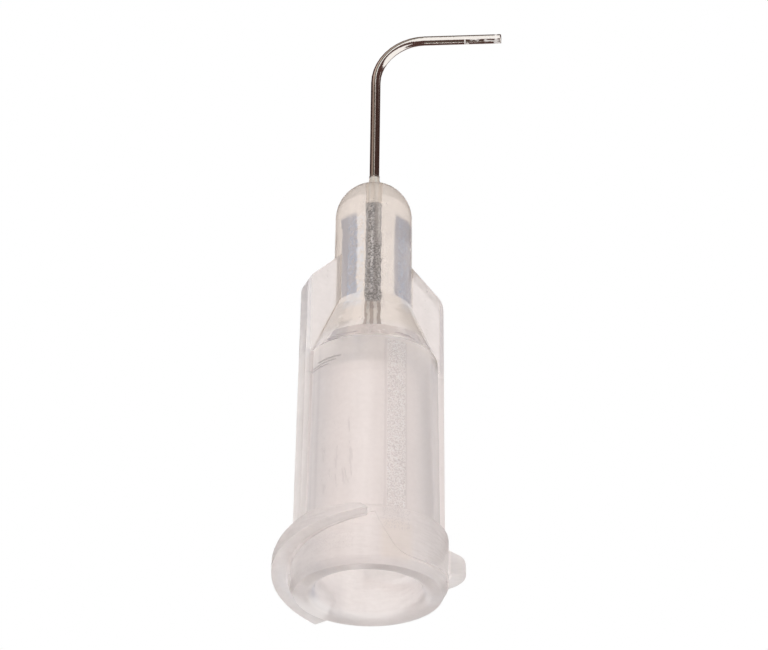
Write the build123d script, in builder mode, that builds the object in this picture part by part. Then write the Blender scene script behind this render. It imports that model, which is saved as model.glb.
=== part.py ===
from build123d import *
import os

# Hub collar and its mouth ring
collar_radius = 3.20
collar_height = 2.56
collar_mouth_radius = 2.98
collar_mouth_bevel = 0.42
collar_top_round = 0.21

# Barrel above the collar, slightly drafted
barrel_root_radius = 2.86
barrel_top_radius = 2.73
barrel_top = 10.40

# Cone shoulder, its lower edge rounded, and nose with its domed end
shoulder_round = 0.30
nose_root_radius = 1.64
nose_top_radius = 1.615
nose_root = 13.00
hub_length = 19.00

# Grip wings on both sides of the barrel, thinner towards their edges
wing_root_half_thickness = 0.50
wing_edge_half_thickness = 0.43
wing_foot_half_width = 3.13
wing_top_half_width = 3.00
wing_shoulder_height = 13.75
wing_crown_height = 15.20
wing_crown_half_width = 1.50
wing_corner_round = 0.85

# Female socket, with the 6 % taper on the diameter that standard fittings have, which is 3 % a
# side, then a funnel
socket_radius = 2.15
socket_mouth_round = 0.40
socket_taper_share = 0.03
socket_depth = 9.50
funnel_round = 0.30
funnel_end = 11.20
funnel_end_radius = 1.20

# Bore for the cannula: a close guide above the funnel, then the wider well for the epoxy
guide_radius = 0.26
guide_end = 13.05
well_start = 13.29
well_radius = 0.50

# Lock lugs, a right handed two start thread on the collar
lug_crest_radius = 3.89
lug_trim_radius = 4.40
lug_root_depth = 0.35
lug_lead = 4.60
lug_span_deg = 156.0
lug_start_deg = 98.6
lug_start_height = 0.11
lug_crest_width = 0.66
lug_flank_rise = 0.60
lug_crest_round = 0.50
lug_lead_in_deg = 6.0
lug_top_drop = 0.62
lug_count = 2

# Side insert of the mould, which cuts the first lug's end aslant and the other lug's start square
insert_start_deg = 262.0
insert_end_deg = 333.0
lug_end_slant = [(-0.90, 2.56), (0.36, 1.72), (2.00, 1.72), (2.00, 4.00), (-0.90, 4.00)]

# Step that the insert leaves on the collar's front, drawn on a plane that faces step_facing_deg
step_depth = 0.06
step_facing_deg = 250.0
step_line = [(0.20, 2.20), (0.45, 1.70), (0.80, 1.12), (1.20, 0.62), (1.75, 0.45), (3.60, 0.80)]
step_foot = [(3.60, -0.20), (-3.60, -0.20), (-3.60, 1.25)]

# Panel that the mould's insert leaves on the front of the barrel
panel_proud = 0.04
panel_start_deg = -99.2
panel_end_deg = -80.8
panel_top = 10.20

# Steel cannula, 27 gauge
tube_radius = 0.206
tube_bore_radius = 0.105
tube_foot = 11.20
bend_radius = 2.10
arm_height = 26.34
arm_reach = 5.42
arm_yaw_deg = 24.8
tip_round = 0.05

# Epoxy bond between the cannula and the nose
bond_rise = 0.50
bond_lip = 0.02
bond_sag = 0.10

full_turn_deg = 360.0
half_turn_deg = 180.0
quarter_turn_deg = 90.0

# Sizes that follow from those above
dome_centre = hub_length - nose_top_radius
socket_mouth_radius = socket_radius + socket_mouth_round
socket_taper = (socket_depth - socket_mouth_round) * socket_taper_share
socket_end_radius = socket_radius - socket_taper
lug_root_radius = collar_radius - lug_root_depth
step_floor_radius = collar_radius - step_depth
lug_foot_width = lug_crest_width + lug_flank_rise
lug_height = lug_lead * lug_span_deg / full_turn_deg
lug_crest_deg = lug_span_deg - lug_lead_in_deg
dome_squared = nose_top_radius**2
bond_edge = dome_centre + (dome_squared - well_radius**2) ** 0.5
bond_top = hub_length + bond_rise
bend_start = arm_height - bend_radius
arm_length = arm_reach - bend_radius
barrel_draft_share = (barrel_root_radius - barrel_top_radius) / (barrel_top - collar_height)
panel_draft = (barrel_top - panel_top) * barrel_draft_share
panel_top_radius = barrel_top_radius + panel_draft + panel_proud
panel_span_deg = panel_end_deg - panel_start_deg
insert_span_deg = insert_end_deg - insert_start_deg
step_direction = Axis.X.direction.rotate(Axis.Z, step_facing_deg)
step_right = Axis.Y.direction.rotate(Axis.Z, step_facing_deg)
step_plane = Plane(origin=(0, 0, 0), x_dir=step_right, z_dir=step_direction)

# One lock lug: an axial section carried up the helix, its start sloped up from the collar
with BuildPart() as lug:
    with BuildLine() as lug_path:
        Helix(pitch=lug_lead, height=lug_height, radius=collar_radius)
    with BuildSketch(Plane.XZ) as lug_section:
        with BuildLine():
            Polyline(
                (lug_root_radius, 0),
                (lug_crest_radius, 0),
                (lug_crest_radius, lug_crest_width),
                (lug_root_radius, lug_foot_width),
                close=True,
            )
        make_face()
        crest_corners = lug_section.vertices().group_by(Axis.X)[-1]
        fillet(crest_corners.sort_by(Axis.Y)[-1], radius=lug_crest_round)
    sweep(sections=lug_section.sketch, path=lug_path.line, is_frenet=True)
    with BuildSketch():
        with BuildLine():
            outer_arc = CenterArc((0, 0), lug_trim_radius, lug_lead_in_deg, lug_crest_deg)
            inner_arc = CenterArc((0, 0), lug_root_radius, 0, lug_span_deg)
            Line(outer_arc @ 0, inner_arc @ 0)
            Line(outer_arc @ 1, inner_arc @ 1)
        make_face()
    extrude(amount=lug_height + lug_foot_width, mode=Mode.INTERSECT)

# Both lugs in place, below the slope from the collar's top edge and clear of the side insert
with BuildPart() as lugs:
    with Locations((0, 0, lug_start_height)):
        with PolarLocations(0, lug_count, start_angle=lug_start_deg):
            add(lug.part)
    with BuildSketch(Plane.XZ):
        with BuildLine():
            Polyline(
                (0, collar_height),
                (collar_radius, collar_height),
                (lug_trim_radius, collar_height - lug_top_drop),
                (lug_trim_radius, hub_length),
                (0, hub_length),
                close=True,
            )
        make_face()
    revolve(axis=Axis.Z, mode=Mode.SUBTRACT)
    with BuildSketch():
        with BuildLine():
            insert_arc = CenterArc((0, 0), lug_trim_radius, insert_start_deg, insert_span_deg)
            Line((0, 0), insert_arc @ 0)
            Line((0, 0), insert_arc @ 1)
        make_face()
    extrude(amount=hub_length, mode=Mode.SUBTRACT)
    with BuildSketch(step_plane):
        with BuildLine():
            Polyline(*lug_end_slant, close=True)
        make_face()
    extrude(amount=lug_trim_radius, mode=Mode.SUBTRACT)

# Step on the collar's front: the shallow skin that is missing below the insert's edge
with BuildPart() as step:
    with BuildSketch(step_plane):
        with BuildLine():
            Spline(*step_line)
            Polyline(step_line[-1], *step_foot, step_line[0])
        make_face()
    extrude(amount=lug_trim_radius)
    with BuildSketch():
        Circle(step_floor_radius)
    extrude(amount=hub_length, both=True, mode=Mode.SUBTRACT)

# Both wings: drafted in plan, then cut to their outline seen from the front
with BuildPart() as wings:
    with BuildSketch(Plane.XY.offset(collar_height)):
        with BuildLine():
            Polyline(
                (0, wing_root_half_thickness),
                (wing_foot_half_width, wing_edge_half_thickness),
                (wing_foot_half_width, -wing_edge_half_thickness),
                (0, -wing_root_half_thickness),
                (-wing_foot_half_width, -wing_edge_half_thickness),
                (-wing_foot_half_width, wing_edge_half_thickness),
                close=True,
            )
        make_face()
    extrude(amount=hub_length - collar_height)
    with BuildSketch(Plane.XZ) as wing_outline:
        with BuildLine():
            Polyline(
                (wing_foot_half_width, 0),
                (wing_top_half_width, wing_shoulder_height),
                (wing_crown_half_width, wing_crown_height),
                (-wing_crown_half_width, wing_crown_height),
                (-wing_top_half_width, wing_shoulder_height),
                (-wing_foot_half_width, 0),
                close=True,
            )
        make_face()
        shoulder_corners = wing_outline.vertices().group_by(Axis.Y)[1]
        fillet(shoulder_corners, radius=wing_corner_round)
    extrude(amount=wing_root_half_thickness, both=True, mode=Mode.INTERSECT)

# Hub moulding: turned outside, wings and lugs added, then the socket and the bore cored out
with BuildPart() as hub:
    with BuildSketch(Plane.XZ) as hub_section:
        with BuildLine():
            Polyline(
                (0, 0),
                (collar_mouth_radius, 0),
                (collar_radius, collar_mouth_bevel),
                (collar_radius, collar_height),
                (barrel_root_radius, collar_height),
                (barrel_top_radius, barrel_top),
                (nose_root_radius, nose_root),
                (nose_top_radius, dome_centre),
            )
            CenterArc((0, dome_centre), nose_top_radius, 0, quarter_turn_deg)
            Line((0, hub_length), (0, 0))
        make_face()
        collar_corners = hub_section.vertices().group_by(Axis.X)[-1]
        fillet(collar_corners.sort_by(Axis.Y)[-1], radius=collar_top_round)
        shoulder_corner = hub_section.vertices().group_by(Axis.Y)[-4]
        fillet(shoulder_corner, radius=shoulder_round)
    revolve(axis=Axis.Z)
    with BuildSketch(Plane.XZ.rotated((0, 0, panel_start_deg))):
        with BuildLine():
            Polyline(
                (0, collar_height),
                (barrel_root_radius + panel_proud, collar_height),
                (panel_top_radius, panel_top),
                (0, panel_top),
                close=True,
            )
        make_face()
    revolve(axis=Axis.Z, revolution_arc=panel_span_deg)
    add(step.part, mode=Mode.SUBTRACT)
    add(wings.part)
    add(lugs.part)
    with BuildSketch(Plane.XZ) as bore_section:
        with BuildLine():
            mouth_centre = (socket_mouth_radius, socket_mouth_round)
            CenterArc(mouth_centre, socket_mouth_round, half_turn_deg, quarter_turn_deg)
            Polyline(
                (socket_radius, socket_mouth_round),
                (socket_end_radius, socket_depth),
                (funnel_end_radius, funnel_end),
                (guide_radius, funnel_end),
                (guide_radius, guide_end),
                (well_radius, well_start),
                (well_radius, hub_length),
                (0, hub_length),
                (0, 0),
                (socket_mouth_radius, 0),
            )
        make_face()
        funnel_corner = bore_section.vertices().group_by(Axis.Y)[2]
        fillet(funnel_corner, radius=funnel_round)
    revolve(axis=Axis.Z, mode=Mode.SUBTRACT)

# Cannula: one drawn tube, straight up from the nose, bent square, then the arm
arm_direction = Axis.X.direction.rotate(Axis.Z, -arm_yaw_deg)
bend_axis = arm_direction.cross(Axis.Z.direction)
bend_plane = Plane(origin=(0, 0, 0), x_dir=arm_direction, z_dir=bend_axis)
bend_centre = bend_plane.from_local_coords((bend_radius, bend_start, 0))
with BuildPart() as cannula:
    with BuildSketch(Plane.XY.offset(tube_foot)):
        Circle(tube_radius)
        Circle(tube_bore_radius, mode=Mode.SUBTRACT)
    extrude(amount=bend_start - tube_foot)
    with BuildSketch(Plane.XY.offset(bend_start)):
        Circle(tube_radius)
        Circle(tube_bore_radius, mode=Mode.SUBTRACT)
    revolve(axis=Axis(bend_centre, bend_axis), revolution_arc=-quarter_turn_deg)
    arm_start = bend_plane.from_local_coords((bend_radius, arm_height, 0))
    with BuildSketch(Plane(origin=arm_start, x_dir=Axis.Z.direction, z_dir=arm_direction)):
        Circle(tube_radius)
        Circle(tube_bore_radius, mode=Mode.SUBTRACT)
    extrude(amount=arm_length)
    tip_edges = cannula.faces().sort_by(Axis(arm_start, arm_direction))[-1].edges()
    fillet(tip_edges.sort_by(SortBy.RADIUS)[-1], radius=tip_round)

# Epoxy bond: fills the bore around the cannula from the funnel up and climbs it in a small cone
with BuildPart() as bond:
    with BuildSketch(Plane.XZ):
        with BuildLine():
            Polyline(
                (well_radius, bond_edge),
                (well_radius, well_start),
                (guide_radius, guide_end),
                (guide_radius, funnel_end),
                (tube_radius, funnel_end),
                (tube_radius, bond_top),
                (tube_radius + bond_lip, bond_top),
            )
            SagittaArc((well_radius, bond_edge), (tube_radius + bond_lip, bond_top), bond_sag)
        make_face()
    revolve(axis=Axis.Z)

hub.part.label = "hub"
cannula.part.label = "cannula"
bond.part.label = "bond"

os.makedirs("parts", exist_ok=True)
export_step(hub.part, "parts/hub.step")
export_step(cannula.part, "parts/cannula.step")
export_step(bond.part, "parts/bond.step")
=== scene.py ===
import math

import bpy
from mathutils import Matrix, Vector

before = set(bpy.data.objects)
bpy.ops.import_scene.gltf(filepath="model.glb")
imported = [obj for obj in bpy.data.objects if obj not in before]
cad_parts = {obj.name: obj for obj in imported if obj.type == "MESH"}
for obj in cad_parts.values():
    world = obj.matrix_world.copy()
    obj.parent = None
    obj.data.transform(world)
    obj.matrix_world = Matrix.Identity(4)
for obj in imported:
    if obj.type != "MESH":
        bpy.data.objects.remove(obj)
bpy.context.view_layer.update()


# Hub moulding
# One injection moulding in natural polypropylene: clear, a little milky, with the gloss that a polished
# mould leaves. The narrow panel on its front and parts of the collar keep the fine grain of the mould's
# inserts.
class Reading:
    """One number or colour that changes over a surface: arithmetic on it adds the Math nodes."""

    def __init__(self, finish, socket):
        self.finish = finish
        self.socket = socket

    def worked(self, operation, *others):
        return self.finish.node("ShaderNodeMath", {"operation": operation}, (self, *others))

    def __add__(self, other):
        return self.worked("ADD", other)

    __radd__ = __add__

    def __sub__(self, other):
        return self.worked("SUBTRACT", other)

    def __rsub__(self, other):
        return self.finish.node("ShaderNodeMath", {"operation": "SUBTRACT"}, (other, self))

    def __mul__(self, other):
        return self.worked("MULTIPLY", other)

    __rmul__ = __mul__

    def __pow__(self, other):
        return self.worked("POWER", other)

    def __abs__(self):
        return self.worked("ABSOLUTE")

    def turned_from(self, other):
        """The angle whose tangent is this number over the other, in degrees."""
        return self.worked("ARCTAN2", other) * math.degrees(1)

    def at_least(self, floor):
        return self.worked("MAXIMUM", floor)

    def above(self, edge, fade):
        """0 below edge, 1 above edge + fade, smooth between them."""
        settings = {"interpolation_type": "SMOOTHSTEP"}
        return self.finish.node("ShaderNodeMapRange", settings, (self, edge, edge + fade))

    def below(self, edge, fade):
        """1 below edge, 0 above edge + fade, smooth between them."""
        return 1 - self.above(edge, fade)

    def within(self, low, high, fade):
        """1 between low and high, smooth to 0 over fade outside them."""
        return self.above(low - fade, fade) * self.below(high, fade)

    def within_any(self, spans):
        """1 inside each of some spans that lie apart."""
        return sum(self.within(*span) for span in spans)


class Finish:
    """The nodes of a material or a world under construction, with the calls that the finishes share."""

    def __init__(self, owner, output_kind="ShaderNodeOutputMaterial"):
        owner.use_nodes = True
        self.owner = owner
        self.tree = owner.node_tree
        self.tree.nodes.clear()
        self.output = self.tree.nodes.new(output_kind)

    def node(self, kind, settings=(), sockets=(), out=0):
        """One node with its settings, then the values or links of its sockets, by place or by name."""
        made = self.tree.nodes.new(kind)
        for name, value in dict(settings).items():
            setattr(made, name, value)
        pairs = sockets.items() if isinstance(sockets, dict) else enumerate(sockets)
        for key, value in pairs:
            if isinstance(value, Reading):
                self.tree.links.new(value.socket, made.inputs[key])
            else:
                made.inputs[key].default_value = value
        return Reading(self, made.outputs[out])

    def split(self, vector):
        """The x, y and z of a vector."""
        parts = self.node("ShaderNodeSeparateXYZ", sockets=(vector,)).socket.node
        return [Reading(self, parts.outputs[axis]) for axis in "XYZ"]

    def place(self):
        """The point in millimetres, then its x, y and z, its distance from the hub's axis and its turn round
        it from the front, in degrees."""
        point = self.node("ShaderNodeTexCoord", out="Object")
        point = self.node("ShaderNodeVectorMath", {"operation": "SCALE"}, {0: point, "Scale": 1 / MM})
        across, depth, height = self.split(point)
        radius = (across * across + depth * depth) ** 0.5
        return point, across, depth, height, radius, across.turned_from(depth * -1)

    def grain(self, point, scale, detail=2.0, roughness=0.5):
        """Noise about 0. The scale is in features a millimetre, one number or one for each axis."""
        if isinstance(scale, tuple):
            point = self.node("ShaderNodeVectorMath", {"operation": "MULTIPLY"}, (point, scale))
            scale = 1.0
        sockets = {"Vector": point, "Scale": scale, "Detail": detail, "Roughness": roughness}
        return self.node("ShaderNodeTexNoise", {"noise_dimensions": "3D"}, sockets) - MIDDLE

    def tint(self, share, first, second):
        """A colour between first and second."""
        settings = {"data_type": "RGBA"}
        return self.node("ShaderNodeMix", settings, {0: share, 6: first, 7: second}, out=2)

    def relief(self, height):
        """A normal from a height in millimetres."""
        return self.node("ShaderNodeBump", sockets={"Height": height, "Distance": MM})

    def mixed(self, share, first, second):
        """A shader between first and second."""
        return self.node("ShaderNodeMixShader", sockets=(share, first, second))

    def through(self, colour):
        """What lets light pass straight on."""
        return self.node("ShaderNodeBsdfTransparent", sockets=(colour,))

    def lamplit(self, shader):
        """A clear shader whose shadow is pale, because most of the lamplight passes straight on."""
        share = self.node("ShaderNodeLightPath", out="Is Shadow Ray") * LAMPLIGHT_SHARE
        return self.mixed(share, shader, self.through(LAMPLIGHT_COLOUR))

    def show(self, shader):
        self.tree.links.new(shader.socket, self.output.inputs["Surface"])

    def dress(self, piece):
        piece.data.materials.clear()
        piece.data.materials.append(self.owner)


MM = 0.001
MIDDLE = 0.5
CLEAR = (1.0, 1.0, 1.0, 1.0)
PLASTIC_IOR = 1.49
PLASTIC_CLEAR_SHARE = 0.72
PLASTIC_PALE = (0.965, 0.92, 0.905, 1.0)
PLASTIC_DEEP = (0.85, 0.805, 0.79, 1.0)
NOSE_CREAM = (0.90, 0.82, 0.75, 1.0)
FLECK_AND_SHADE_GREY = (0.72, 0.68, 0.68, 1.0)
SPECK_AND_SHADE_PLUM = (0.37, 0.34, 0.36, 1.0)
REFRACTED_SIDE_LAVENDER = (0.84, 0.88, 0.95, 1.0)
LAMPLIGHT_COLOUR = (0.9, 0.88, 0.87, 1.0)
LAMPLIGHT_SHARE = 0.85

# Grains: features a millimetre, in one number or along each axis, then detail and roughness.
HAZE_GRAIN = (0.9, 3.0)
MOTTLE_GRAIN = (6.0, 2.0)
DRAG_GRAIN = ((2.4, 2.4, 0.12), 2.0)
FLOW_GRAIN = ((1.4, 1.4, 9.0), 3.0)
SWIRL_GRAIN = (1.6, 2.0)
PEBBLE_GRAIN = (17.0, 1.0)
SPECK_GRAIN = (26.0, 1.0)
SCUFF_GRAIN = (1.0, 3.0, 0.7)

# Places on the moulding. An edge is a number and its fade, a span is from, to and fade. Heights, radii and
# distances are in millimetres, turns in degrees round the hub from its front.
SKIN_RADIUS_EDGE = (2.6, 0.02)
BARREL_HEIGHTS = (2.65, 10.15, 0.05)
PANEL_TURNS = (-6.5, 9.2, 0.5)
PANEL_EDGE_TURNS = ((-8.8, -7.8, 0.8), (10.0, 10.8, 0.8))
WING_ROOT_TURNS = ((-79, -77, 1.5), (-71, -70, 2.0))
SHADED_SIDE_TURNS = (10, 70, 3)
THIN_SIDE_TURNS = (48, 76, 8)
SHADE_BAND_TURNS = (-80, -9, 2)
SHADE_BAND_HEIGHTS = (8.8, 9.5, 0.15)
POLISH_HEIGHT_EDGE = (10.35, 0.1)

WING_SIDE_EDGE = (2.8, 0.1)
WING_FOOT_EDGE = (2.5, 0.1)
LEFT_WING_SIDE_EDGE = (2.75, 0.1)
LEFT_WING_FOOT_EDGE = (2.6, 0.1)

COLLAR_TOP_EDGE = (2.3, 0.5)
COLLAR_SKIN_RADIUS_EDGE = (3.0, 0.05)
LUG_RADIUS_EDGE = (3.25, 0.1)
CREAM_TURNS = (-8, 8, 7)
CREAM_HEIGHTS = (0.4, 1.7, 0.4)
UPPER_INSERT_TURNS = (-10, 9, 2)
UPPER_INSERT_HEIGHTS = (1.6, 2.4, 0.2)
LOWER_INSERT_TURNS = (-62, -34, 6)
LOWER_INSERT_HEIGHTS = (0.75, 1.3, 0.2)
LOWER_INSERT_SHARE = 0.6
FRONT_LIP_TOP_EDGE = (0.05, 0.4)
FRONT_LIP_DEPTH_EDGE = (0.3, 1.5)
REAR_LIP_TOP_EDGE = (0.1, 0.2)
REAR_LIP_DEPTH_EDGE = (0.5, 1.0)
MOUTH_RADIUS_EDGE = (2.35, 0.1)
MOUTH_SHADE_TOP_EDGE = (0.8, 1.2)
MOUTH_SHADE_TURNS = (-165, -110, 15)

CONE_TOP = 13.0
CONE_SLOPE_SHARE = 0.42
NOSE_RADIUS = 1.64
OFF_WINGS_EDGE = (0.03, 0.03)
NOSE_FOOT_EDGE = (10.9, 0.6)
NOSE_GRAIN_TURNS = (0, 75, 6)
NOSE_GRAIN_HEIGHTS = (13.2, 16.8, 0.6)
NOSE_SIDE_TURNS = ((-60, -35, 2), (21, 58, 3))
NOSE_SIDE_HEIGHTS = (12.4, 16.5, 0.4)
BY_TUBE_TURNS = (-26, -6, 2)
BY_TUBE_HEIGHTS = (12.0, 17.2, 0.15)
TUBE_SIDE_TURNS = (-26, -17, 2)
TUBE_SIDE_HEIGHTS = (12.0, 17.1, 0.15)
BORE_RADIUS = 0.5
BORE_FOOT = 11.2
SEAM = 0.02

# What the grains leave: the noise's edge for each kind of mark.
FLECK_CUT = (0.0, 0.12)
GLINT_CUT = (0.06, 0.06)
SPECK_CUT = (0.0, 0.05)
FAINT_SPECK_CUT = (0.0, 0.1)
FAINT_SPECK_TURN_EDGE = (12, 8)
PANEL_FLECK_GAIN = 1.6
LIT_SPECK_HEIGHT_EDGE = (15.4, 0.6)
LIT_SPECK_TURN_EDGE = (-20, 4)
LIT_SPECK_SHARE = 0.5

# Dark strokes at the shoulder, each at a height and from one turn to another, and scuffs below them.
# The strokes' dark colour is a painted reflection of the shoulder's edges; they also have a shallow relief.
STROKES = (
    (9.30, -79, -62), (9.42, -78, -54), (9.55, -70, -50),
    (10.36, -66, -52), (10.48, -62, -44), (10.58, -52, -36),
    (10.58, 8, 18), (10.66, 3, 14), (10.60, 36, 54),
)
STROKE_WIDTH = 0.03
STROKE_END_FADE = 4
STROKE_HAZE_WAVE = 0.25
STROKE_MOTTLE_WAVE = 0.05
SCUFF_CUT = (0.07, 0.05)
SCUFF_TURNS = (-62, -36, 8)
SCUFF_HEIGHTS = (3.6, 6.3, 0.5)
SCUFFS_A_DEGREE = 0.30
SCUFF_LEAN = 0.5
SCUFFS_ALONG = 0.9

# How much each mark changes the plastic's colour, its relief in millimetres and its roughness.
HAZE_TINT = 0.3
MOTTLE_TINT = 0.9
FLOW_TINT = 1.6
NOSE_TINT = 0.8
CREAM_TINT = 0.6
NOSE_SIDE_TINT = 0.4
NOSE_SIDE_MOTTLE = 2.5
NOSE_SIDE_HAZE = 1.5
FLECK_TINT = 0.6
SCUFF_TINT = 0.5
SHADED_SIDE_TINT = 0.14
SHADE_BAND_TINT = 0.18
FRONT_LIP_SHADE_TINT = 0.5
MOUTH_SHADE_TINT = 0.75
PANEL_EDGE_TINT = 0.5
WING_ROOT_SHADE_TINT = 0.32
SPECK_TINT = 0.44
TUBE_SIDE_SHADE_TINT = 0.2
FAINT_SPECK_TINT = 0.22
STROKE_REFLECTION_TINT = 0.55
LEFT_WING_LIGHT_TINT = 0.3
REAR_LIP_TINT = 0.3
SWIRL_RELIEF = 0.02
PANEL_RELIEF = 0.05
NOSE_RELIEF = 0.012
INSERT_RELIEF = 0.02
STROKE_RELIEF = 0.04
SCUFF_RELIEF = 0.01
FLOW_RELIEF = 0.03
BARREL_ROUGHNESS = 0.30
POLISH_ROUGHNESS_DROP = 0.25
PANEL_ROUGHNESS_GAIN = 0.06
WING_ROUGHNESS_GAIN = 0.35
THIN_SIDE_SHARE = 0.35
THIN_WING_SHARE = 0.22
THIN_LUG_SHARE = 0.22

plastic = Finish(bpy.data.materials.new("natural_polypropylene"))
point, across, depth, height, radius, turn = plastic.place()
leftward = across * -1
haze = plastic.grain(point, *HAZE_GRAIN)
mottle = plastic.grain(point, *MOTTLE_GRAIN)
drag = plastic.grain(point, *DRAG_GRAIN)
flow = plastic.grain(point, *FLOW_GRAIN) * height.below(*COLLAR_TOP_EDGE)
swirl = plastic.grain(point, *SWIRL_GRAIN)
pebble = plastic.grain(point, *PEBBLE_GRAIN)
fine = plastic.grain(point, *SPECK_GRAIN)

outside = radius.above(*SKIN_RADIUS_EDGE)
barrel = outside * height.within(*BARREL_HEIGHTS)
panel = turn.within(*PANEL_TURNS) * barrel
panel_edges = turn.within_any(PANEL_EDGE_TURNS) * barrel
# Painted shade: thin grey lines by the left wing's root.
wing_root_shade = turn.within_any(WING_ROOT_TURNS) * barrel
# Painted shade: the barrel greyer on its right side.
shaded_side = turn.within(*SHADED_SIDE_TURNS) * barrel
thin_side = turn.within(*THIN_SIDE_TURNS) * barrel
shade_band = turn.within(*SHADE_BAND_TURNS) * height.within(*SHADE_BAND_HEIGHTS) * barrel
polished = height.above(*POLISH_HEIGHT_EDGE)

wing_frost = abs(across).above(*WING_SIDE_EDGE) * height.above(*WING_FOOT_EDGE)
thin_wing = leftward.above(*WING_SIDE_EDGE) * height.above(*WING_FOOT_EDGE)
# Painted light: the left wing paler.
lit_left_wing = leftward.above(*LEFT_WING_SIDE_EDGE) * height.above(*LEFT_WING_FOOT_EDGE)

collar_skin = radius.above(*COLLAR_SKIN_RADIUS_EDGE)
cream = turn.within(*CREAM_TURNS) * height.within(*CREAM_HEIGHTS) * collar_skin
upper_insert = turn.within(*UPPER_INSERT_TURNS) * height.within(*UPPER_INSERT_HEIGHTS)
lower_insert = turn.within(*LOWER_INSERT_TURNS) * height.within(*LOWER_INSERT_HEIGHTS)
insert_grain = (upper_insert + lower_insert * LOWER_INSERT_SHARE) * collar_skin
# Painted shade: the front of the moulding greyer at its lowest edge.
front_lip_shade = height.below(*FRONT_LIP_TOP_EDGE) * (depth * -1).above(*FRONT_LIP_DEPTH_EDGE)
rear_lip = height.below(*REAR_LIP_TOP_EDGE) * depth.above(*REAR_LIP_DEPTH_EDGE)
mouth_shade = radius.below(*MOUTH_RADIUS_EDGE) * height.below(*MOUTH_SHADE_TOP_EDGE)
mouth_shade = mouth_shade * turn.within(*MOUTH_SHADE_TURNS)
thin_lug = radius.above(*LUG_RADIUS_EDGE)

cone_radius = (CONE_TOP - height).at_least(0) * CONE_SLOPE_SHARE + NOSE_RADIUS
off_wings = (radius - cone_radius).below(*OFF_WINGS_EDGE)
nose = height.above(*NOSE_FOOT_EDGE) * off_wings
nose_grain = height.within(*NOSE_GRAIN_HEIGHTS) * off_wings * turn.within(*NOSE_GRAIN_TURNS)
# Painted refraction: the nose's two sides tinted lavender, standing in for the dim blue sides of the sweep
# seen through them.
nose_sides = turn.within_any(NOSE_SIDE_TURNS) * off_wings * height.within(*NOSE_SIDE_HEIGHTS)

# The specks are the tube's blasting, set on the skin where the photo's view looks through it at the tube.
by_tube = off_wings * turn.within(*BY_TUBE_TURNS) * height.within(*BY_TUBE_HEIGHTS)
# Painted shade: the tube's left side darker, set on the skin the same way.
tube_side_shade = off_wings * turn.within(*TUBE_SIDE_TURNS) * height.within(*TUBE_SIDE_HEIGHTS)
lit_specks = height.above(*LIT_SPECK_HEIGHT_EDGE) * turn.above(*LIT_SPECK_TURN_EDGE)
specks = fine.above(*SPECK_CUT) * by_tube * (1 - lit_specks * LIT_SPECK_SHARE)
faint_specks = pebble.above(*FAINT_SPECK_CUT) * nose_grain * turn.above(*FAINT_SPECK_TURN_EDGE)
flecks = pebble.above(*FLECK_CUT) * (panel * PANEL_FLECK_GAIN + nose_grain + insert_grain)
glints = (pebble * -1).above(*GLINT_CUT) * panel

wavy_height = height + haze * STROKE_HAZE_WAVE + mottle * STROKE_MOTTLE_WAVE
# Painted reflection: dark lines along the shoulder's edges.
reflection_strokes = outside * 0
for rise, start, stop in STROKES:
    line = wavy_height.within(rise, rise + STROKE_WIDTH, STROKE_WIDTH)
    reflection_strokes = reflection_strokes + line * turn.within(start, stop, STROKE_END_FADE) * outside
slanted_across = turn * SCUFFS_A_DEGREE + height * SCUFF_LEAN
slanted = plastic.node("ShaderNodeCombineXYZ", sockets=(slanted_across, height * SCUFFS_ALONG, 0.0))
scuffs = plastic.grain(slanted, *SCUFF_GRAIN).above(*SCUFF_CUT)
scuffs = scuffs * outside * turn.within(*SCUFF_TURNS) * height.within(*SCUFF_HEIGHTS)

paler = haze * HAZE_TINT + mottle * MOTTLE_TINT + drag + flow * FLOW_TINT
colour = plastic.tint(MIDDLE + paler, PLASTIC_DEEP, PLASTIC_PALE)
colour = plastic.tint(nose * NOSE_TINT, colour, NOSE_CREAM)
colour = plastic.tint(cream * CREAM_TINT, colour, NOSE_CREAM)
# The lavender on the nose's sides is painted refraction, mottled.
refracted_lavender = nose_sides * (NOSE_SIDE_TINT + mottle * NOSE_SIDE_MOTTLE + haze * NOSE_SIDE_HAZE)
colour = plastic.tint(refracted_lavender, colour, REFRACTED_SIDE_LAVENDER)
# Grey from the mould's flecks and scuffs, and painted shade on the barrel's right side, its shoulder band,
# the lowest front edge and the mouth.
greyer = flecks * FLECK_TINT + scuffs * SCUFF_TINT + shaded_side * SHADED_SIDE_TINT
greyer = greyer + shade_band * SHADE_BAND_TINT + front_lip_shade * FRONT_LIP_SHADE_TINT + mouth_shade * MOUTH_SHADE_TINT
colour = plastic.tint(greyer, colour, FLECK_AND_SHADE_GREY)
# Grey lines at the panel's edges, and painted shade at the left wing's root.
colour = plastic.tint(panel_edges * PANEL_EDGE_TINT + wing_root_shade * WING_ROOT_SHADE_TINT, colour, FLECK_AND_SHADE_GREY)
# Plum from the tube's blasting seen through the skin and the nose's grain, with painted shade down the
# tube's side and the painted reflection strokes.
darker = specks * SPECK_TINT + tube_side_shade * TUBE_SIDE_SHADE_TINT
darker = darker + faint_specks * FAINT_SPECK_TINT + reflection_strokes * STROKE_REFLECTION_TINT
colour = plastic.tint(darker, colour, SPECK_AND_SHADE_PLUM)
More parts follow.
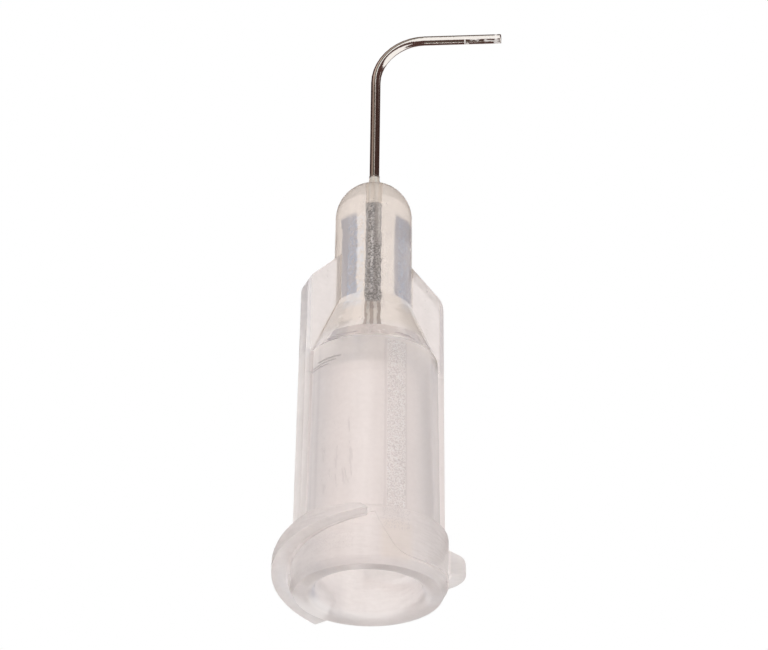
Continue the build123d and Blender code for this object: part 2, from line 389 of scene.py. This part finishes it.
# Glints are painted highlights on the panel; the left wing's paler tone is painted light.
colour = plastic.tint(glints + lit_left_wing * LEFT_WING_LIGHT_TINT + rear_lip * REAR_LIP_TINT, colour, CLEAR)
pits = pebble * (panel * PANEL_RELIEF + nose_grain * NOSE_RELIEF + insert_grain * INSERT_RELIEF)
cuts = reflection_strokes * STROKE_RELIEF + scuffs * SCUFF_RELIEF
waves = swirl * SWIRL_RELIEF + flow * FLOW_RELIEF
rougher = panel * PANEL_ROUGHNESS_GAIN + wing_frost * WING_ROUGHNESS_GAIN
moulded = plastic.node("ShaderNodeBsdfPrincipled", sockets={
    "Base Color": colour,
    "Roughness": BARREL_ROUGHNESS - polished * POLISH_ROUGHNESS_DROP + rougher,
    "IOR": PLASTIC_IOR,
    "Transmission Weight": PLASTIC_CLEAR_SHARE,
    "Normal": plastic.relief(waves + pits - cuts),
})
wetted = radius.below(BORE_RADIUS + SEAM, SEAM) * height.above(BORE_FOOT + SEAM, SEAM)
thinner = thin_side * THIN_SIDE_SHARE + thin_wing * THIN_WING_SHARE + thin_lug * THIN_LUG_SHARE
plastic.show(plastic.mixed(wetted.at_least(thinner), plastic.lamplit(moulded), plastic.through(CLEAR)))
plastic.dress(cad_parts["hub"])


# Cannula
# One length of drawn stainless tube, bent square over a former, its cut end tumbled round. The length in the
# nose was blasted so that the epoxy holds, which leaves it dark and grainy.
STEEL_BRIGHT = (0.62, 0.55, 0.51, 1.0)
STEEL_DULL = (0.47, 0.41, 0.38, 1.0)
STEEL_POLISHED = (0.97, 0.93, 0.90, 1.0)
BLASTED_LIGHT = (0.74, 0.75, 0.77, 1.0)
BLASTED_DARK = (0.10, 0.10, 0.11, 1.0)
GLUED_HIGHLIGHT = (1.0, 0.98, 0.94, 1.0)
GLUED_UNLIT_BROWN = (0.46, 0.38, 0.34, 1.0)
GLUED_UNLIT_TAN = (0.92, 0.85, 0.78, 1.0)
DRAW_GRAIN = (14.0, 3.0)
BLAST_GRAIN = (15.0, 1.0)
PALE_STREAK_GRAIN = ((2.5, 2.5, 14.0), 2.0)
BLASTED_FOOT_EDGE = (12.6, 0.2)
BLASTED_TOP_EDGE = (17.75, 0.1)
GLUE_TOP_EDGE = (19.4, 0.05)
BEND_FOOT_EDGE = (23.6, 1.2)
ARM_UNDERSIDE_TOP_EDGE = (26.30, 0.05)
LIT_LINE_TURNS = ((-64, -46, 6), (-12, 12, 6))
BLAST_CUT = (-0.04, 0.1)
LIT_BLAST_HEIGHT_EDGE = (15.6, 0.5)
LIT_BLAST_TURN_EDGE = (-20, 12)
LIT_BLAST_SHARE = 0.7
GLUED_METAL_DROP = 0.85
MARK_METAL_DROP = 0.75
STEEL_ROUGHNESS = 0.16
DRAW_ROUGHNESS_GAIN = 0.1
BLASTED_ROUGHNESS_GAIN = 0.2
SMOOTH_ROUGHNESS_DROP = 0.09
DRAW_RELIEF = 0.003
BLASTED_RELIEF = 0.01

# The arm points this far from the line of the wings towards the front. Its marks are distances along it from
# the hub's axis, and its tip is at 5.42.
ARM_TURN = math.radians(24.8)
END_MARK_REACHES = (5.15, 5.24, 0.02)
TICK_REACHES = (3.83, 3.87, 0.02)
PALE_STREAK_REACH_EDGE = (3.84, 0.04)
PALE_STREAK_CUT = (0.02, 0.08)

steel = Finish(bpy.data.materials.new("drawn_stainless"))
point, across, depth, height, _, turn = steel.place()
draw_lines = steel.grain(point, *DRAW_GRAIN)
pitting = steel.grain(point, *BLAST_GRAIN)
above_blasting = height.above(*BLASTED_TOP_EDGE)
blasted = height.above(*BLASTED_FOOT_EDGE) * (1 - above_blasting)
glued = height.below(*GLUE_TOP_EDGE) * (1 - blasted)
bent = height.above(*BEND_FOOT_EDGE)

bare = steel.tint(MIDDLE + draw_lines, STEEL_DULL, STEEL_BRIGHT)
bare = steel.tint(bent, bare, STEEL_POLISHED)
# Painted light and shade on the glued length, whose metal is mostly turned to plain colour: painted
# highlights along two lines, the rest a painted unlit brown that turns tan above the blasting.
unlit = steel.tint(above_blasting, GLUED_UNLIT_BROWN, GLUED_UNLIT_TAN)
bare = steel.tint(glued, bare, steel.tint(turn.within_any(LIT_LINE_TURNS), unlit, GLUED_HIGHLIGHT))
lit_blasting = height.above(*LIT_BLAST_HEIGHT_EDGE) * turn.above(*LIT_BLAST_TURN_EDGE) * LIT_BLAST_SHARE
dulled = steel.tint(pitting.above(*BLAST_CUT).at_least(lit_blasting), BLASTED_DARK, BLASTED_LIGHT)

reach = across * math.cos(ARM_TURN) - depth * math.sin(ARM_TURN)
underside = bent * height.below(*ARM_UNDERSIDE_TOP_EDGE)
# Pale marks where the metal turns to plain colour: a band near the end all round, and on the underside a
# tick and streaks from it outwards.
pale_streaks = steel.grain(point, *PALE_STREAK_GRAIN).above(*PALE_STREAK_CUT) * reach.above(*PALE_STREAK_REACH_EDGE) * underside
tick = reach.within(*TICK_REACHES) * underside
pale_marks = reach.within(*END_MARK_REACHES).at_least(pale_streaks).at_least(tick)
rougher = draw_lines * DRAW_ROUGHNESS_GAIN + blasted * BLASTED_ROUGHNESS_GAIN
steel.show(steel.node("ShaderNodeBsdfPrincipled", sockets={
    "Base Color": steel.tint(blasted, bare, dulled),
    "Metallic": 1 - glued * GLUED_METAL_DROP - pale_marks * MARK_METAL_DROP,
    "Roughness": STEEL_ROUGHNESS + rougher - (glued + bent) * SMOOTH_ROUGHNESS_DROP,
    "Normal": steel.relief(draw_lines * DRAW_RELIEF + pitting * blasted * BLASTED_RELIEF),
}))
steel.dress(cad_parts["cannula"])


# Epoxy bond
# Clear epoxy dropped into the nose around the cannula. It wets the bore, so no edge shows there, and it
# climbs the tube a little where it leaves the nose.
EPOXY_CLEAR_SHARE = 0.94
EPOXY_PALE = (0.95, 0.92, 0.87, 1.0)
EPOXY_STRAW = (0.90, 0.85, 0.77, 1.0)
EPOXY_ROUGHNESS = 0.08
CLOUD_GRAIN = (5.0, 4.0, 0.7)
CLOUD_RELIEF = 0.01
TUBE_RADIUS_EDGE = (0.208, 0.002)
CLIMB_FOOT_EDGE = (18.92, 0.02)
CLIMB_SHARE = 0.6

epoxy = Finish(bpy.data.materials.new("clear_epoxy"))
point, _, _, height, radius, _ = epoxy.place()
cloud = epoxy.grain(point, *CLOUD_GRAIN)
cured = epoxy.node("ShaderNodeBsdfPrincipled", sockets={
    "Base Color": epoxy.tint(MIDDLE + cloud, EPOXY_STRAW, EPOXY_PALE),
    "Roughness": EPOXY_ROUGHNESS,
    "IOR": PLASTIC_IOR,
    "Transmission Weight": EPOXY_CLEAR_SHARE,
    "Normal": epoxy.relief(cloud * CLOUD_RELIEF),
})
climb = height.above(*CLIMB_FOOT_EDGE) * radius.above(*TUBE_RADIUS_EDGE)
wetted = height.above(BORE_FOOT + SEAM, SEAM) * (1 - climb * CLIMB_SHARE)
epoxy.show(epoxy.mixed(wetted, epoxy.lamplit(cured), epoxy.through(CLEAR)))
epoxy.dress(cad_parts["bond"])


# Camera
# The photo looks up at the tip from below and a little to the left of the wings' front.
PHOTO_WIDTH_PX = 768
PHOTO_HEIGHT_PX = 650
FOCAL_PX = 3565.4
ORIGIN_X_PX = 368.24
ORIGIN_Y_PX = 595.45
CAMERA_DISTANCE = 141.86 * MM
LOOK_UP = math.radians(29.11)
LOOK_TURN = math.radians(20.41)
LOOK_ROLL = math.radians(0.74)
SENSOR_WIDTH = 36.0
CLIP_NEAR = 0.01
CLIP_FAR = 10.0

level_right = Vector((math.cos(LOOK_TURN), -math.sin(LOOK_TURN), 0))
level_ahead = Vector((math.sin(LOOK_TURN), math.cos(LOOK_TURN), 0))
ahead = level_ahead * math.cos(LOOK_UP) + Vector((0, 0, math.sin(LOOK_UP)))
overhead = Vector((0, 0, math.cos(LOOK_UP))) - level_ahead * math.sin(LOOK_UP)
image_right = level_right * math.cos(LOOK_ROLL) + overhead * math.sin(LOOK_ROLL)
image_up = overhead * math.cos(LOOK_ROLL) - level_right * math.sin(LOOK_ROLL)
metres_per_px = CAMERA_DISTANCE / FOCAL_PX
aside = (ORIGIN_X_PX - PHOTO_WIDTH_PX / 2) * metres_per_px
aloft = (PHOTO_HEIGHT_PX / 2 - ORIGIN_Y_PX) * metres_per_px
camera_data = bpy.data.cameras.new("photo_camera")
camera_data.sensor_width = SENSOR_WIDTH
camera_data.lens = FOCAL_PX * SENSOR_WIDTH / PHOTO_WIDTH_PX
camera_data.clip_start = CLIP_NEAR
camera_data.clip_end = CLIP_FAR
camera = bpy.data.objects.new("photo_camera", camera_data)
bpy.context.scene.collection.objects.link(camera)
bpy.context.scene.camera = camera
axes = Matrix((image_right, image_up, -ahead)).transposed().to_4x4()
stand = -image_right * aside - image_up * aloft - ahead * CAMERA_DISTANCE
camera.matrix_world = Matrix.Translation(stand) @ axes


# Studio
# A pale table that the tip stands on, seen only from above, a white sweep behind the tip, dim at its sides,
# and soft lamps. The room in front is dark but for a tall window, a low white card and two duller patches,
# which the steel shows as lines.
TABLE_DROP = 0.02 * MM
TABLE_SIZE = 1.6
PAPER = (0.82, 0.81, 0.80, 1.0)
PAPER_ROUGHNESS = 0.9
SWEEP_WHITE = (1.0, 1.0, 1.0, 1.0)
SWEEP_SOFT = (1.0, 0.995, 0.99, 1.0)
SWEEP_SOFT_STRENGTH = 0.78
SWEEP_BEHIND = (0.93, 0.91, 0.90, 1.0)
SWEEP_SIDES = (0.20, 0.25, 0.37, 1.0)
ROOM_DARK = (0.075, 0.038, 0.032, 1.0)
ROOM_OLIVE = (0.10, 0.11, 0.085, 1.0)
ROOM_TAN = (0.50, 0.40, 0.34, 1.0)
ROOM_WINDOW = (0.95, 0.93, 0.90, 1.0)

table = Finish(bpy.data.materials.new("pale_table"))
facing_away = table.node("ShaderNodeNewGeometry", out="Backfacing")
paper = table.node("ShaderNodeBsdfPrincipled", sockets={"Base Color": PAPER, "Roughness": PAPER_ROUGHNESS})
table.show(table.mixed(facing_away, paper, table.through(CLEAR)))
table_mesh = bpy.data.meshes.new("table")
half = TABLE_SIZE / 2
signs = ((-1, -1), (1, -1), (1, 1), (-1, 1))
table_mesh.from_pydata([(half * x, half * y, -TABLE_DROP) for x, y in signs], [], [(0, 1, 2, 3)])
table_top = bpy.data.objects.new("table", table_mesh)
bpy.context.scene.collection.objects.link(table_top)
table.dress(table_top)
table_top.visible_diffuse = False
table_top.visible_shadow = False
table_top.visible_glossy = False

# Spans of the studio as the tip sees it, from, to and fade: degrees to the right of straight behind it or of
# straight ahead of it, and degrees above the level.
DIM_SIDES = ((20, 46, 2), (-85, -28, 3))
DIM_SIDES_STEEP_EDGE = (17, 5)
OLIVE_PATCH = (-32, -14, 4)
TAN_PATCH = (-75, -40, 6)
WINDOW = (-11, 0, 3)
WINDOW_STEEP = (-17, 64, 5)
LOW_CARD = (30, 135, 8)
LOW_CARD_STEEP = (-50, 4, 5)
LEVEL_BEHIND_EDGE = (14, 8)
LEVEL_BEHIND_STEEP = (-10, 38, 6)
ROOM_EDGE = (95, 10)

sweep = Finish(bpy.data.worlds.new("white_sweep"), "ShaderNodeOutputWorld")
bpy.context.scene.world = sweep.owner
east, north, rise = sweep.split(sweep.node("ShaderNodeTexCoord", out="Generated"))
rightward = east * math.cos(LOOK_TURN) - north * math.sin(LOOK_TURN)
forward = east * math.sin(LOOK_TURN) + north * math.cos(LOOK_TURN)
behind = rightward.turned_from(forward)
ahead_of_tip = rightward.turned_from(forward * -1)
steep = rise.turned_from((1 - rise * rise) ** 0.5)
sides = behind.within_any(DIM_SIDES) * steep.above(*DIM_SIDES_STEEP_EDGE)
backdrop = sweep.tint(sides, SWEEP_BEHIND, SWEEP_SIDES)
room = sweep.tint(ahead_of_tip.within(*OLIVE_PATCH), ROOM_DARK, ROOM_OLIVE)
room = sweep.tint(ahead_of_tip.within(*TAN_PATCH), room, ROOM_TAN)
room = sweep.tint(ahead_of_tip.within(*WINDOW) * steep.within(*WINDOW_STEEP), room, ROOM_WINDOW)
room = sweep.tint(ahead_of_tip.within(*LOW_CARD) * steep.within(*LOW_CARD_STEEP), room, ROOM_WINDOW)
level_behind = abs(behind).below(*LEVEL_BEHIND_EDGE) * steep.within(*LEVEL_BEHIND_STEEP)
off_surfaces = sweep.tint(level_behind, room, backdrop)
through_plastic = sweep.tint(abs(behind).above(*ROOM_EDGE), backdrop, room)


def glow(colour, strength=1.0):
    return sweep.node("ShaderNodeBackground", sockets={"Color": colour, "Strength": strength})


def ray(kind):
    return sweep.node("ShaderNodeLightPath", out=kind)


shown = sweep.mixed(ray("Is Glossy Ray"), glow(SWEEP_SOFT, SWEEP_SOFT_STRENGTH), glow(off_surfaces))
shown = sweep.mixed(ray("Is Transmission Ray"), shown, glow(through_plastic))
sweep.show(sweep.mixed(ray("Is Camera Ray"), shown, glow(SWEEP_WHITE)))

# Soft square lamps, each with its place in metres and its power in watts, all aimed at the tip's middle.
LAMPS = (
    ("key_lamp", (-0.25, -0.30, 0.30), 0.35),
    ("fill_lamp", (0.35, -0.15, 0.05), 0.12),
    ("low_lamp", (-0.05, -0.30, -0.25), 0.2),
)
LAMP_SIZE = 0.25
TIP_MIDDLE = Vector((0, 0, 0.012))

for name, place, power in LAMPS:
    data = bpy.data.lights.new(name, "AREA")
    data.size = LAMP_SIZE
    data.energy = power
    lamp = bpy.data.objects.new(name, data)
    lamp.location = place
    lamp.rotation_euler = (TIP_MIDDLE - Vector(place)).to_track_quat("-Z", "Y").to_euler()
    lamp.visible_glossy = False
    bpy.context.scene.collection.objects.link(lamp)

bpy.context.scene.view_settings.view_transform = "Standard"
